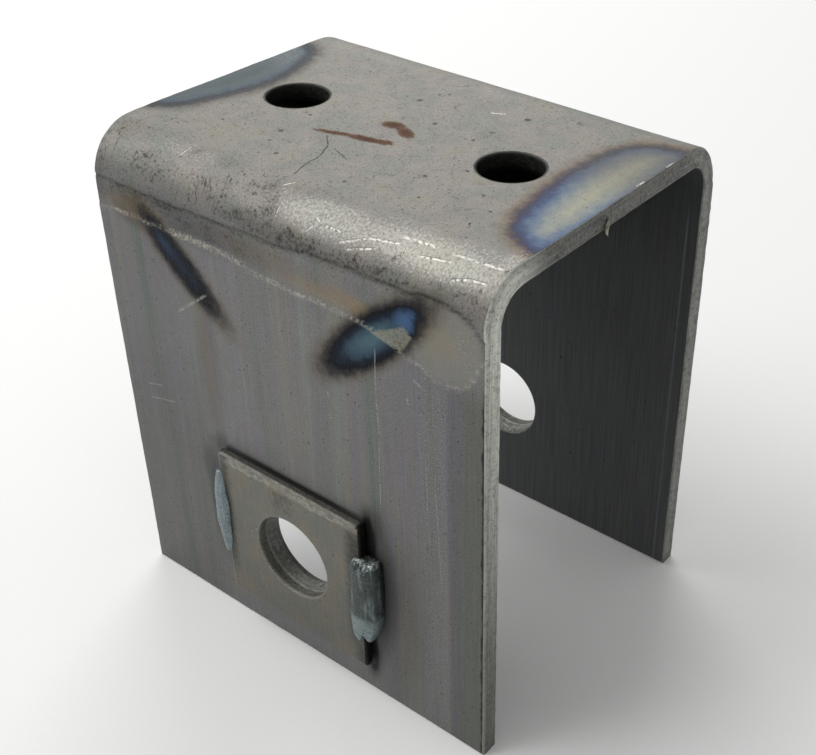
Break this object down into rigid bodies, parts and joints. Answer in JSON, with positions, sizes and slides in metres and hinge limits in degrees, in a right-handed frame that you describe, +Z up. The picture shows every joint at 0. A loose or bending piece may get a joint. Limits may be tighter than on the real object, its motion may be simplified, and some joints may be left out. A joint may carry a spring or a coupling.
{
  "type": "u bracket",
  "caption": "Folded steel U bracket, open below, with a bolt bore through both legs, welded bore plates, round web holes and a bent slipper plate welded under the web.",
  "frame": {"origin": "middle of the footprint, at the level of the leg ends", "axes": "+X along the channel from open end to open end, +Y across it from the near leg to the far leg, +Z up from the leg ends to the web"},
  "size_m": [0.0946, 0.0794, 0.106],
  "materials": {
    "channel_steel": "raw rolled steel, grey, with faint striations, heat tints and light rust",
    "plate_steel": "raw rolled steel, grey-brown, with sheared edges",
    "slipper_steel": "raw rolled steel, dark grey",
    "weld_metal": "as welded, blue-grey, glassy in places"
  },
  "bodies": {
    "root": {"channel": "channel_steel", "far_boss_plate": "plate_steel", "far_plate_weld_heavy": "weld_metal", "far_plate_weld_slim": "weld_metal", "flank_weld_far_left": "weld_metal", "flank_weld_far_right": "weld_metal", "flank_weld_near_left": "weld_metal", "flank_weld_near_right": "weld_metal", "near_boss_plate": "plate_steel", "near_plate_weld_heavy": "weld_metal", "near_plate_weld_slim": "weld_metal", "slipper_plate": "slipper_steel", "web_spatter": "weld_metal", "web_weld_left": "weld_metal", "web_weld_right": "weld_metal"}
  },
  "joints": []
}
